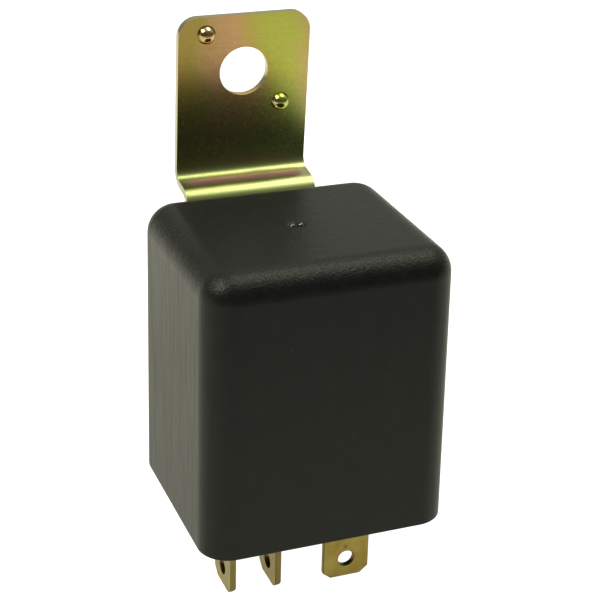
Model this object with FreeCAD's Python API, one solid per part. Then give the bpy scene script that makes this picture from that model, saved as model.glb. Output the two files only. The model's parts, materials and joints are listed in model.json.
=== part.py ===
import FreeCAD, Part
import math
import os

# Automotive relay with a cranked fixing bracket. Millimetres.
# X runs to the right along the front, Y to the back, Z up.
# The origin is the centre of the base plate's underside, level with the cover's rim.

# Cover, a moulded box open at the bottom
COVER_WIDTH = 33.0
COVER_DEPTH = 29.4
COVER_HEIGHT = 38.0
COVER_WALL = 1.6
COVER_DRAFT = 0.46
COVER_EDGE = 3.8
INNER_BEVEL = 1.3
STOP_RIB_WIDTH = 1.2
STOP_RIB_DEPTH = 1.0
STOP_RIB_HEIGHT = 12.0
STOP_RIB_SPACING = 17.0
SNAP_WIDTH = 5.0
SNAP_HEIGHT = 1.2
SNAP_DEPTH = 0.45
SNAP_LAND = 0.3
SNAP_LEVEL = 1.6
SNAP_SPACING = 9.0
SNAP_CLEARANCE = 0.15

# Base plate, a moulded floor that carries the blades
BASE_THICKNESS = 4.0
BASE_CLEARANCE = 0.1
SLOT_CLEARANCE = 0.05

# Fixing bracket, one cranked strip against the cover's back
BRACKET_THICKNESS = 1.0
BRACKET_WIDTH = 18.0
BRACKET_SHIFT = -0.7
BRACKET_BEND = 1.5
SEAT_RECESS = 0.3
SEAT_CLEARANCE = 0.15
STRAP_LENGTH = 23.63
STRAP_CORNER = 3.0
CRANK_DROP = 0.37
CRANK_RISE = 9.0
CRANK_REACH = 5.07
TAB_LENGTH = 21.75
TAB_LEAN = 4.1
TAB_CORNER = 2.6
HOLE_RADIUS = 3.3
HOLE_FROM_TOP = 7.65
PIP_RADIUS = 1.25
PIP_SINK = 0.15
PIP_PUNCH_RADIUS = 0.8
PIP_PUNCH_DEPTH = 0.9
PIP_SPACING_ACROSS = 10.5
PIP_SPACING_UP = 10.0
PIP_RISE = 0.33

# Bracket rivets, through the strap and the cover's back wall
RIVET_RADIUS = 1.6
RIVET_HEAD_RADIUS = 2.8
RIVET_CREST_RADIUS = 1.5
RIVET_HEAD_HEIGHT = 1.3
RIVET_TAIL_RADIUS = 2.4
RIVET_TAIL_HEIGHT = 0.9
RIVET_SPACING = 11.0
RIVET_FROM_END = 6.0
RIVET_CLEARANCE = 0.05
RIVET_PAD_WIDTH = 6.4
RIVET_PAD_HEIGHT = 0.25

# Blades, all five alike below the base
BLADE_WIDTH = 6.3
BLADE_THICKNESS = 0.8
BLADE_LENGTH = 8.5
BLADE_CHAMFER_ACROSS = 1.1
BLADE_CHAMFER_UP = 0.9
BLADE_BEVEL = 0.2
BLADE_HOLE_RADIUS = 1.1
BLADE_HOLE_FROM_TIP = 2.8
SHOULDER_HEIGHT = 1.0
SHOULDER_WIDTH = 0.6

# Places of the blades: insets from the inside of the cover's walls at the rim, offset from the plane X = 0
LEFT_BLADE_INSET = 2.9
LEFT_BLADE_PITCH = 6.0
LEFT_BLADE_FRONT_INSET = 2.8
SECOND_BLADE_FRONT_INSET = 2.3
FACING_BLADE_OFFSET = 3.9
FACING_BLADE_FRONT_INSET = 2.4
COIL_BLADE_SIDE_INSET = 5.0
COIL_BLADE_BACK_INSET = 2.8

# Magnet: yoke, core, bobbin and winding
HEADROOM = 7.2
YOKE_THICKNESS = 2.0
YOKE_SIDE_GAP = 1.4
YOKE_BEND = 0.8
YOKE_BACK_INSET = 3.5
YOKE_NOSE_WALL = 1.0
YOKE_NOSE_LENGTH = 2.0
YOKE_NOSE_CORNER = 1.6
YOKE_FOOT_SETBACK = 0.9
LUG_WIDTH = 3.0
LUG_DEPTH = 2.6
LUG_INSET = 0.5
LUG_CLEARANCE = 0.05
EAR_WIDTH = 2.0
EAR_HEIGHT = 2.0
CORE_SHARE = 0.5175
TENON_SHOULDER = 1.2
TENON_CLEARANCE = 0.05
PEEN_LIP = 0.5
PEEN_HEIGHT = 0.8
PEEN_CLEARANCE = 0.3
POLE_LIP = 1.5
POLE_THICKNESS = 1.5
POLE_GAP = 0.1
BORE_CLEARANCE = 0.1
TUBE_WALL = 0.7
FLANGE_THICKNESS = 1.0
FLANGE_SIDE_GAP = 0.7
FLANGE_FRONT_GAP = 1.0
FLANGE_BACK_GAP = 0.1
WINDING_SETBACK = 0.35
WINDING_CLEARANCE = 0.02

# Armature, flat on the yoke's edge when closed and tilted front up at rest
ARMATURE_THICKNESS = 1.6
ARMATURE_TILT = 3.2
PIVOT_GAP = 0.03
EAR_CLEARANCE = 0.2
ARMATURE_OVERHANG = 0.9
ARMATURE_BACK_BAR = 1.3
ARMATURE_CORNER = 0.8
TAIL_WIDTH = 4.4
TAIL_MARGIN = 0.6

# Contacts and the leaf that carries the moving one
CONTACT_INSET = 2.2
CONTACT_RADIUS = 1.5
CONTACT_HEIGHT = 0.8
CONTACT_SHANK_RADIUS = 0.7
CONTACT_GAP = 0.03
CONTACT_CLEARANCE = 0.03
LEAF_THICKNESS = 0.3
LEAF_WIDTH = 5.0
LEAF_CORNER = 1.5
LEAF_TIP_MARGIN = 0.1
LEAF_BACK_MARGIN = 2.1
LEAF_EAR_LENGTH = 3.2
LEAF_EAR_MARGIN = 0.5
SPRING_RIVET_RADIUS = 0.8
SPRING_RIVET_HEAD_RADIUS = 1.4
SPRING_RIVET_HEAD_HEIGHT = 0.6
SPRING_RIVET_INSET = 3.1
SPRING_RIVET_PITCH = 3.2
ARM_WIDTH = 3.2
ARM_BEND = 0.5
ARM_MARGIN = 1.8
FACING_RISER_WIDTH = 4.0
FACING_RISER_HEIGHT = 10.0
COIL_RISER_WIDTH = 3.3
COIL_RISER_HEIGHT = 5.0
NOTCH_WIDTH = 0.6
NOTCH_DEPTH = 1.0

# Return spring, hooked through the armature's tail and the yoke
SPRING_RADIUS = 1.0
SPRING_WIRE = 0.175
SPRING_TURNS = 5
SPRING_LENGTH = 5.0
SPRING_SETBACK = 1.6
SPRING_EYE_RADIUS = 0.55
HOOK_DROP = 12.2
HOOK_RISE = 2.6
HOOK_TIP = 0.9
HOOK_GAP = 0.3
HOOK_BEND = 0.35

# Copper leads
LEAD_RADIUS = 0.2
LEAD_LIFT = 0.5
LEAD_GAP = 0.05
LEAD_TAIL = 0.6
BRAID_WIDTH = 1.6
BRAID_THICKNESS = 0.7
BRAID_BEND = 0.8
BRAID_GAP = 0.05
BRAID_START = 5.5
BRAID_KNEE = 5.5
BRAID_SWING = 5.0
BRAID_BELLY = 1.7

# Worked out from the sizes above
SLOPE = math.tan(math.radians(COVER_DRAFT))
INNER_X = COVER_WIDTH / 2 - COVER_WALL
INNER_Y = COVER_DEPTH / 2 - COVER_WALL
INNER_TOP = COVER_HEIGHT - COVER_WALL
BRACKET_SEAT = COVER_DEPTH / 2 - SEAT_RECESS
CRANK_LEVEL = COVER_HEIGHT - CRANK_DROP
STRAP_BOTTOM = CRANK_LEVEL - STRAP_LENGTH
RIVET_LEVEL = STRAP_BOTTOM + RIVET_FROM_END
RIVET_PAD_Y = INNER_Y - SLOPE * RIVET_LEVEL - RIVET_PAD_HEIGHT
TIP_Z = -BLADE_LENGTH
SHOULDER_TOP = BASE_THICKNESS + SHOULDER_HEIGHT
LEFT_BLADE_X = LEFT_BLADE_INSET - INNER_X
SECOND_BLADE_X = LEFT_BLADE_X + LEFT_BLADE_PITCH
LEFT_BLADE_FRONT = LEFT_BLADE_FRONT_INSET - INNER_Y
SECOND_BLADE_FRONT = SECOND_BLADE_FRONT_INSET - INNER_Y
FACING_BLADE_LEFT = FACING_BLADE_OFFSET - BLADE_WIDTH / 2
FACING_BLADE_Y = FACING_BLADE_FRONT_INSET - INNER_Y
COIL_BLADE_X = INNER_X - COIL_BLADE_SIDE_INSET
COIL_BLADE_FRONT = INNER_Y - COIL_BLADE_BACK_INSET - BLADE_WIDTH
COIL_BLADE_CENTRE = COIL_BLADE_FRONT + BLADE_WIDTH / 2
FOOT_TOP = BASE_THICKNESS + YOKE_THICKNESS
FOOT_FRONT = SECOND_BLADE_FRONT + BLADE_WIDTH + SHOULDER_WIDTH + YOKE_FOOT_SETBACK
LUG_BOTTOM = BASE_THICKNESS - LUG_DEPTH
YOKE_TOP = INNER_TOP - HEADROOM
YOKE_BACK = INNER_Y - YOKE_BACK_INSET
YOKE_FRONT = YOKE_BACK - YOKE_THICKNESS
YOKE_HALF = COIL_BLADE_X - YOKE_SIDE_GAP
EAR_INNER = YOKE_HALF - EAR_WIDTH
POLE_TOP = YOKE_TOP - POLE_GAP
POLE_UNDER = POLE_TOP - POLE_THICKNESS
CONTACT_Y = CONTACT_INSET - INNER_Y
ARM_FRONT = CONTACT_Y - ARM_WIDTH / 2
ARM_BACK = CONTACT_Y + ARM_WIDTH / 2
FLANGE_FRONT = ARM_BACK + FLANGE_FRONT_GAP
FLANGE_BACK = YOKE_FRONT - YOKE_BEND - FLANGE_BACK_GAP
CORE_Y = (FLANGE_FRONT + FLANGE_BACK) / 2
WINDING_RADIUS = (FLANGE_BACK - FLANGE_FRONT) / 2 - WINDING_SETBACK
WINDING_BOTTOM = FOOT_TOP + FLANGE_THICKNESS
WINDING_TOP = POLE_UNDER - FLANGE_THICKNESS
CORE_RADIUS = CORE_SHARE * WINDING_RADIUS
TUBE_RADIUS = CORE_RADIUS + BORE_CLEARANCE + TUBE_WALL
TENON_RADIUS = CORE_RADIUS - TENON_SHOULDER
PEEN_RADIUS = TENON_RADIUS + PEEN_LIP
POLE_RADIUS = CORE_RADIUS + POLE_LIP
FLANGE_HALF = COIL_BLADE_X - FLANGE_SIDE_GAP
PLATE_BOTTOM = YOKE_TOP + PIVOT_GAP
PLATE_TOP = PLATE_BOTTOM + ARMATURE_THICKNESS
LEAF_TOP = PLATE_TOP + LEAF_THICKNESS
PLATE_FRONT = CORE_Y - POLE_RADIUS - ARMATURE_OVERHANG
SPRING_Y = YOKE_BACK + SPRING_SETBACK
HOOK_LEVEL = YOKE_TOP - HOOK_DROP
LEAF_EAR_SIDE = FACING_BLADE_OFFSET + BRAID_WIDTH / 2 + LEAF_EAR_MARGIN
PIVOT = FreeCAD.Vector(0, YOKE_BACK, YOKE_TOP)

# How far a cutter runs past the face that it cuts, how close two places count as one, sides of a thin wire
OVERRUN = 1.0
TOLERANCE = 1e-4
WIRE_SIDES = 4


def vector(x, y, z):
    return FreeCAD.Vector(x, y, z)


def block(x0, x1, y0, y1, z0, z1):
    return Part.makeBox(x1 - x0, y1 - y0, z1 - z0, vector(x0, y0, z0))


def side_block(side, near, far, y0, y1, z0, z1):
    """Block between two distances from the plane X = 0, on its right (side 1) or its left (-1)."""
    return block(min(side * near, side * far), max(side * near, side * far), y0, y1, z0, z1)


def disc(radius, height, place, direction):
    return Part.makeCylinder(radius, height, place, direction)


def drafted_block(half_x, half_y, height):
    """Block on the plane Z = 0 whose sides lean in by the cover's draft."""
    lean = SLOPE * height
    wedge = Part.makeWedge(-half_x, 0, -half_y, lean - half_y, lean - half_x,
                           half_x, height, half_y, half_y - lean, half_x - lean)
    wedge.rotate(vector(0, 0, 0), vector(1, 0, 0), 90)
    return wedge


def edges_where(shape, test):
    return [edge for edge in shape.Edges if test(edge.BoundBox)]


def upright_edges(shape):
    return edges_where(shape, lambda box: box.ZLength > TOLERANCE)


def top_edges(shape):
    level = shape.BoundBox.ZMax - TOLERANCE
    return edges_where(shape, lambda box: box.ZMin > level)


def run_directions(path):
    """Unit directions of the straight runs of a flat path of (u, v) points."""
    runs = []
    for (u0, v0), (u1, v1) in zip(path, path[1:]):
        length = math.hypot(u1 - u0, v1 - v0)
        runs.append(((u1 - u0) / length, (v1 - v0) / length))
    return runs


def rounded_path(path, radii, place):
    """Edges of a flat path whose inner corners are arcs of the given radii."""
    runs = run_directions(path)
    edges = []
    start = path[0]
    for index, corner in enumerate(path[1:-1]):
        (u0, v0), (u1, v1) = runs[index], runs[index + 1]
        turn = math.atan2(u0 * v1 - v0 * u1, u0 * u1 + v0 * v1)
        reach = radii[index] * math.tan(abs(turn) / 2)
        first = (corner[0] - u0 * reach, corner[1] - v0 * reach)
        last = (corner[0] + u1 * reach, corner[1] + v1 * reach)
        side = math.copysign(radii[index], turn)
        centre = (first[0] - v0 * side, first[1] + u0 * side)
        apart = math.hypot(corner[0] - centre[0], corner[1] - centre[1])
        share = radii[index] / apart
        middle = [centre[axis] + (corner[axis] - centre[axis]) * share for axis in (0, 1)]
        edges.append(Part.LineSegment(place(*start), place(*first)).toShape())
        edges.append(Part.Arc(place(*first), place(*middle), place(*last)).toShape())
        start = last
    edges.append(Part.LineSegment(place(*start), place(*path[-1])).toShape())
    return edges


def bent_sheet(path, thickness, bend, side, place, sweep):
    """Sheet folded along path. Thickness goes to the left of the path (side 1) or right (-1)."""
    runs = run_directions(path)
    normals = [(-v * side, u * side) for u, v in runs]
    other = [tuple(path[0][axis] + thickness * normals[0][axis] for axis in (0, 1))]
    near_radii = []
    far_radii = []
    for index, corner in enumerate(path[1:-1]):
        before, after = normals[index], normals[index + 1]
        spread = 1 + before[0] * after[0] + before[1] * after[1]
        other.append(tuple(corner[axis] + thickness * (before[axis] + after[axis]) / spread
                           for axis in (0, 1)))
        (u0, v0), (u1, v1) = runs[index], runs[index + 1]
        inside = (u0 * v1 - v0 * u1) * side > 0
        near_radii.append(bend + thickness if inside else bend)
        far_radii.append(bend if inside else bend + thickness)
    other.append(tuple(path[-1][axis] + thickness * normals[-1][axis] for axis in (0, 1)))
    edges = rounded_path(path, near_radii, place)
    edges.append(Part.LineSegment(place(*path[-1]), place(*other[-1])).toShape())
    back = rounded_path(other[::-1], far_radii[::-1], place)
    edges += back
    edges.append(Part.LineSegment(place(*other[0]), place(*path[0])).toShape())
    return Part.Face(Part.Wire(edges)).extrude(sweep)


def wire_section(radius, place, direction):
    """Outline of a thin wire as a regular polygon, square to direction."""
    outline = []
    for corner in range(WIRE_SIDES + 1):
        turn = 2 * math.pi * corner / WIRE_SIDES
        outline.append(vector(radius * math.cos(turn), radius * math.sin(turn), 0))
    wire = Part.makePolygon(outline)
    wire.Placement = FreeCAD.Placement(place, FreeCAD.Rotation(vector(0, 0, 1), direction))
    return wire


def straight_wire(radius, start, end):
    return Part.Face(wire_section(radius, start, end - start)).extrude(end - start)


def yoke_plane(y, z):
    """Point of the plane of symmetry X = 0."""
    return vector(0, y, z)


def at_rest(shape):
    """Tilt a shape from the closed, flat position to the rest position, front up."""
    tilted = shape.copy()
    tilted.rotate(PIVOT, vector(1, 0, 0), -ARMATURE_TILT)
    return tilted


def rest_point(y, z):
    """Where a point of the closed armature lies at rest, as (y, z)."""
    tilt = math.radians(ARMATURE_TILT)
    away = y - YOKE_BACK
    rise = z - YOKE_TOP
    return (YOKE_BACK + away * math.cos(tilt) + rise * math.sin(tilt),
            YOKE_TOP - away * math.sin(tilt) + rise * math.cos(tilt))


def rivet_places():
    """The two bracket rivets, as (side name, x)."""
    return [("left", BRACKET_SHIFT - RIVET_SPACING / 2), ("right", BRACKET_SHIFT + RIVET_SPACING / 2)]


def make_cover():
    outer = drafted_block(COVER_WIDTH / 2, COVER_DEPTH / 2, COVER_HEIGHT)
    outer = outer.makeFillet(COVER_EDGE, upright_edges(outer) + top_edges(outer))
    inner = drafted_block(INNER_X, INNER_Y, INNER_TOP)
    inner = inner.makeChamfer(INNER_BEVEL, upright_edges(inner) + top_edges(inner))
    cover = outer.cut(inner)

    # Stop ribs on the side walls, which the base plate is pushed up against
    ribs = []
    for side in (-1, 1):
        for row in (-1, 1):
            y = row * STOP_RIB_SPACING / 2
            ribs.append(side_block(side, INNER_X - STOP_RIB_DEPTH, INNER_X + COVER_WALL / 2,
                                   y - STOP_RIB_WIDTH / 2, y + STOP_RIB_WIDTH / 2,
                                   BASE_THICKNESS, BASE_THICKNESS + STOP_RIB_HEIGHT))
    cover = cover.fuse(ribs)

    # Flat pads inside the back wall for the rivets' tails
    half_pad = RIVET_PAD_WIDTH / 2
    for _, x in rivet_places():
        cover = cover.fuse(block(x - half_pad, x + half_pad, RIVET_PAD_Y, BRACKET_SEAT,
                                 RIVET_LEVEL - half_pad, RIVET_LEVEL + half_pad))

    # Seat of the strap, rivet holes and snap pockets
    half_seat = BRACKET_WIDTH / 2 + SEAT_CLEARANCE
    cutters = [block(BRACKET_SHIFT - half_seat, BRACKET_SHIFT + half_seat, BRACKET_SEAT, COVER_DEPTH,
                     STRAP_BOTTOM - SEAT_CLEARANCE, COVER_HEIGHT)]
    for _, x in rivet_places():
        cutters.append(Part.makeCylinder(RIVET_RADIUS + RIVET_CLEARANCE, COVER_DEPTH / 2,
                                         vector(x, RIVET_PAD_Y - OVERRUN, RIVET_LEVEL), vector(0, 1, 0)))
    for side in (-1, 1):
        for row in (-1, 1):
            cutters.append(snap_nose(side, row * SNAP_SPACING / 2, SNAP_CLEARANCE))
    return cover.cut(cutters).removeSplitter()


def snap_nose(side, y, margin):
    """Wedge on the base's side wall, or with a margin the pocket that it snaps into."""
    wall = INNER_X - BASE_CLEARANCE
    root = wall - COVER_WALL
    low = SNAP_LEVEL - margin
    high = SNAP_LEVEL + SNAP_HEIGHT + margin
    tip = wall + SNAP_DEPTH + margin
    points = [(root, low), (wall, low), (tip, high - SNAP_LAND), (tip, high), (root, high)]
    outline = [vector(side * x, y - SNAP_WIDTH / 2 - margin, z) for x, z in points]
    face = Part.Face(Part.makePolygon(outline + [outline[0]]))
    return face.extrude(vector(0, SNAP_WIDTH + 2 * margin, 0))


def make_base_plate():
    half_x = INNER_X - BASE_CLEARANCE
    half_y = INNER_Y - BASE_CLEARANCE
    base = drafted_block(half_x, half_y, BASE_THICKNESS)
    base = base.makeChamfer(INNER_BEVEL, upright_edges(base))
    noses = [snap_nose(side, row * SNAP_SPACING / 2, 0) for side in (-1, 1) for row in (-1, 1)]
    base = base.fuse(noses)

    cutters = []
    for x, y in edge_on_blades():
        cutters.append(block(x - SLOT_CLEARANCE, x + BLADE_THICKNESS + SLOT_CLEARANCE, y - SLOT_CLEARANCE,
                             y + BLADE_WIDTH + SLOT_CLEARANCE, 0, BASE_THICKNESS))
    cutters.append(block(FACING_BLADE_LEFT - SLOT_CLEARANCE,
                         FACING_BLADE_LEFT + BLADE_WIDTH + SLOT_CLEARANCE,
                         FACING_BLADE_Y - SLOT_CLEARANCE,
                         FACING_BLADE_Y + BLADE_THICKNESS + SLOT_CLEARANCE,
                         0, BASE_THICKNESS))
    peen_depth = PEEN_HEIGHT + PEEN_CLEARANCE
    cutters.append(Part.makeCylinder(PEEN_RADIUS + PEEN_CLEARANCE, peen_depth,
                                     vector(0, CORE_Y, BASE_THICKNESS - peen_depth)))
    cutters += [yoke_lug(side, LUG_CLEARANCE) for side in (-1, 1)]
    return base.cut(cutters).removeSplitter()


def edge_on_blades():
    """Left face and front edge of the four blades whose width runs front to back."""
    return [(LEFT_BLADE_X, LEFT_BLADE_FRONT), (SECOND_BLADE_X, SECOND_BLADE_FRONT),
            (-COIL_BLADE_X - BLADE_THICKNESS / 2, COIL_BLADE_FRONT),
            (COIL_BLADE_X - BLADE_THICKNESS / 2, COIL_BLADE_FRONT)]


def blade(place):
    """Blade from its tip to the top of its shoulders; place(s, t, z) puts width s and thickness t."""
    half = BLADE_WIDTH / 2
    slim = half - BLADE_CHAMFER_ACROSS
    broad = half + SHOULDER_WIDTH
    low = TIP_Z + BLADE_CHAMFER_UP
    right = [(slim, TIP_Z), (half, low), (half, BASE_THICKNESS),
             (broad, BASE_THICKNESS), (broad, SHOULDER_TOP)]
    left = [(-s, z) for s, z in right[::-1]]
    points = [place(s, 0, z) for s, z in right + left]
    sweep = place(0, BLADE_THICKNESS, 0) - place(0, 0, 0)
    solid = Part.Face(Part.makePolygon(points + [points[0]])).extrude(sweep)
    thin = max(abs(sweep.x), abs(sweep.y))
    tip = []
    for edge in solid.Edges:
        box = edge.BoundBox
        across = box.XLength if abs(sweep.x) > abs(sweep.y) else box.YLength
        if box.ZMax < low + TOLERANCE and across < thin / 2:
            tip.append(edge)
    solid = solid.makeChamfer(BLADE_BEVEL, tip)
    hole = Part.makeCylinder(BLADE_HOLE_RADIUS, BLADE_THICKNESS,
                             place(0, 0, TIP_Z + BLADE_HOLE_FROM_TIP), sweep)
    return solid.cut(hole)


def edge_on_place(x, y):
    """Frame of a blade whose left face is at x and whose front edge is at y."""
    return lambda s, t, z: vector(x + t, y + BLADE_WIDTH / 2 + s, z)


def make_contact_terminal(x, y, arm_top):
    """Edge-on blade with a riser at the front and an arm folded over towards the contact."""
    solid = blade(edge_on_place(x, y))
    path = [(x, BASE_THICKNESS), (x, arm_top), (ARM_MARGIN, arm_top)]
    riser = bent_sheet(path, BLADE_THICKNESS, ARM_BEND, -1, lambda u, v: vector(u, ARM_FRONT, v),
                       vector(0, ARM_WIDTH, 0))
    hole = Part.makeCylinder(CONTACT_SHANK_RADIUS + CONTACT_CLEARANCE, BLADE_THICKNESS,
                             vector(0, CONTACT_Y, arm_top - BLADE_THICKNESS))
    foot = block(x, x + BLADE_THICKNESS, ARM_FRONT, y, BASE_THICKNESS, SHOULDER_TOP)
    return solid.fuse([riser, foot]).cut(hole).removeSplitter()


def make_facing_terminal():
    """Blade that faces the front, with a riser that the braid is welded to."""
    solid = blade(lambda s, t, z: vector(FACING_BLADE_OFFSET + s, FACING_BLADE_Y + t, z))
    half = FACING_RISER_WIDTH / 2
    riser = block(FACING_BLADE_OFFSET - half, FACING_BLADE_OFFSET + half,
                  FACING_BLADE_Y, FACING_BLADE_Y + BLADE_THICKNESS,
                  BASE_THICKNESS, BASE_THICKNESS + FACING_RISER_HEIGHT)
    return solid.fuse(riser).removeSplitter()


def make_coil_terminal(side):
    """Blade beside the coil with a notched riser for the lead."""
    x = side * COIL_BLADE_X - BLADE_THICKNESS / 2
    solid = blade(edge_on_place(x, COIL_BLADE_FRONT))
    half = COIL_RISER_WIDTH / 2
    top = BASE_THICKNESS + COIL_RISER_HEIGHT
    riser = block(x, x + BLADE_THICKNESS, COIL_BLADE_CENTRE - half, COIL_BLADE_CENTRE + half,
                  BASE_THICKNESS, top)
    notch = block(x - OVERRUN, x + BLADE_THICKNESS + OVERRUN, COIL_BLADE_CENTRE - NOTCH_WIDTH / 2,
                  COIL_BLADE_CENTRE + NOTCH_WIDTH / 2, top - NOTCH_DEPTH, top + OVERRUN)
    return solid.fuse(riser).cut(notch).removeSplitter()


def make_bracket():
    rise = math.radians(CRANK_RISE)
    lean = math.radians(TAB_LEAN)
    foot = (BRACKET_SEAT, STRAP_BOTTOM)
    elbow = (BRACKET_SEAT, CRANK_LEVEL)
    knee = (BRACKET_SEAT + CRANK_REACH * math.cos(rise), CRANK_LEVEL + CRANK_REACH * math.sin(rise))
    top = (knee[0] - TAB_LENGTH * math.sin(lean), knee[1] + TAB_LENGTH * math.cos(lean))
    left = BRACKET_SHIFT - BRACKET_WIDTH / 2
    sheet = bent_sheet([foot, elbow, knee, top], BRACKET_THICKNESS, BRACKET_BEND, -1,
                       lambda u, v: vector(left, u, v), vector(BRACKET_WIDTH, 0, 0))

    centre, forward = bracket_hole_place()
    up = forward.cross(vector(1, 0, 0))
    crest = top[1] - BRACKET_THICKNESS
    corner = edges_where(sheet, lambda box: box.ZMin > crest and box.XLength < TOLERANCE)
    corner = [edge for edge in corner if edge.Length < BRACKET_THICKNESS + TOLERANCE]
    sheet = sheet.makeFillet(TAB_CORNER, corner)
    corner = edges_where(sheet, lambda box: box.ZMax < STRAP_BOTTOM + TOLERANCE and box.XLength < TOLERANCE)
    sheet = sheet.makeFillet(STRAP_CORNER, corner)

    through = BRACKET_THICKNESS + 2 * OVERRUN
    cutters = [Part.makeCylinder(HOLE_RADIUS, through, centre + forward * OVERRUN, forward * -1)]
    for _, x in rivet_places():
        cutters.append(Part.makeCylinder(RIVET_RADIUS + RIVET_CLEARANCE, through,
                                         vector(x, BRACKET_SEAT - OVERRUN, RIVET_LEVEL), vector(0, 1, 0)))
    pips = []
    for side in (-1, 1):
        across = vector(side * PIP_SPACING_ACROSS / 2, 0, 0)
        spot = centre + up * (PIP_RISE - side * PIP_SPACING_UP / 2) + across
        pips.append(Part.makeSphere(PIP_RADIUS, spot - forward * PIP_SINK, forward, 0, 90, 360))
        cutters.append(Part.makeCylinder(PIP_PUNCH_RADIUS, PIP_PUNCH_DEPTH,
                                         spot - forward * BRACKET_THICKNESS, forward))
    return sheet.fuse(pips).cut(cutters).removeSplitter()


def bracket_hole_place():
    """Centre of the fixing hole on the tab's front face and the tab's forward normal."""
    rise = math.radians(CRANK_RISE)
    lean = math.radians(TAB_LEAN)
    along = TAB_LENGTH - HOLE_FROM_TOP
    y = BRACKET_SEAT + CRANK_REACH * math.cos(rise) - along * math.sin(lean)
    z = CRANK_LEVEL + CRANK_REACH * math.sin(rise) + along * math.cos(lean)
    return vector(BRACKET_SHIFT, y, z), vector(0, -math.cos(lean), -math.sin(lean))


def make_bracket_rivet(x):
    """Raised head on the strap, shank through strap and wall, flat tail on the inside pad."""
    out = vector(0, 1, 0)
    back = BRACKET_SEAT + BRACKET_THICKNESS
    shank = disc(RIVET_RADIUS, back - RIVET_PAD_Y, vector(x, RIVET_PAD_Y, RIVET_LEVEL), out)
    tail = disc(RIVET_TAIL_RADIUS, RIVET_TAIL_HEIGHT,
                vector(x, RIVET_PAD_Y - RIVET_TAIL_HEIGHT, RIVET_LEVEL), out)
    head = Part.makeCone(RIVET_HEAD_RADIUS, RIVET_CREST_RADIUS, RIVET_HEAD_HEIGHT,
                         vector(x, back, RIVET_LEVEL), out)
    return shank.fuse([tail, head]).removeSplitter()


def make_yoke():
    """Foot under the coil and back behind it, folded from one strip."""
    nose_front = FOOT_FRONT - YOKE_NOSE_LENGTH
    path = [(nose_front, BASE_THICKNESS), (YOKE_BACK, BASE_THICKNESS), (YOKE_BACK, YOKE_TOP)]
    yoke = bent_sheet(path, YOKE_THICKNESS, YOKE_BEND, 1, lambda u, v: vector(-YOKE_HALF, u, v),
                      vector(2 * YOKE_HALF, 0, 0))

    # The foot narrows to a nose under the core, clear of the second blade
    for side in (-1, 1):
        yoke = yoke.cut(side_block(side, TENON_RADIUS + YOKE_NOSE_WALL, YOKE_HALF + OVERRUN,
                                   nose_front - OVERRUN, FOOT_FRONT,
                                   BASE_THICKNESS - OVERRUN, FOOT_TOP + OVERRUN))
    nose = edges_where(yoke, lambda box: box.YMax < nose_front + TOLERANCE and box.ZLength > TOLERANCE)
    yoke = yoke.makeFillet(YOKE_NOSE_CORNER, nose)

    # Ears beside the armature, and lugs folded down into the base
    for side in (-1, 1):
        ear = side_block(side, EAR_INNER, YOKE_HALF, YOKE_FRONT, YOKE_BACK, YOKE_TOP - OVERRUN,
                         YOKE_TOP + EAR_HEIGHT)
        yoke = yoke.fuse([ear, yoke_lug(side, 0)])

    tenon_hole = Part.makeCylinder(TENON_RADIUS + TENON_CLEARANCE, YOKE_THICKNESS,
                                   vector(0, CORE_Y, BASE_THICKNESS))
    spring_hole = Part.makeCylinder(SPRING_EYE_RADIUS, YOKE_THICKNESS, vector(0, YOKE_FRONT, HOOK_LEVEL),
                                    vector(0, 1, 0))
    return yoke.cut([tenon_hole, spring_hole]).removeSplitter()


def yoke_lug(side, margin):
    """Lug under the foot's front edge, or with a margin the pocket in the base that it is pressed into."""
    outer = YOKE_HALF - LUG_INSET
    return side_block(side, outer - LUG_WIDTH - margin, outer + margin, FOOT_FRONT - margin,
                      FOOT_FRONT + YOKE_THICKNESS + margin, LUG_BOTTOM - margin, BASE_THICKNESS)


def make_core():
    """Peened tenon in the yoke's foot, shank through the bobbin and a broad pole on top."""
    up = vector(0, 0, 1)
    steps = [(PEEN_RADIUS, BASE_THICKNESS - PEEN_HEIGHT, BASE_THICKNESS),
             (TENON_RADIUS, BASE_THICKNESS, FOOT_TOP),
             (CORE_RADIUS, FOOT_TOP, POLE_UNDER),
             (POLE_RADIUS, POLE_UNDER, POLE_TOP)]
    solids = [disc(radius, high - low, vector(0, CORE_Y, low), up) for radius, low, high in steps]
    return solids[0].fuse(solids[1:]).removeSplitter()


def make_bobbin():
    """Tube between two flat flanges, bored for the core."""
    flanges = [block(-FLANGE_HALF, FLANGE_HALF, FLANGE_FRONT, FLANGE_BACK, bottom, bottom + FLANGE_THICKNESS)
               for bottom in (FOOT_TOP, WINDING_TOP)]
    foot = vector(0, CORE_Y, FOOT_TOP)
    tube = Part.makeCylinder(TUBE_RADIUS, POLE_UNDER - FOOT_TOP, foot)
    bore = Part.makeCylinder(CORE_RADIUS + BORE_CLEARANCE, POLE_UNDER - FOOT_TOP, foot)
    return tube.fuse(flanges).cut(bore).removeSplitter()


def make_winding():
    height = WINDING_TOP - WINDING_BOTTOM
    place = vector(0, CORE_Y, WINDING_BOTTOM)
    outer = Part.makeCylinder(WINDING_RADIUS, height, place)
    inner = Part.makeCylinder(TUBE_RADIUS + WINDING_CLEARANCE, height, place)
    return outer.cut(inner)


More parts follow.
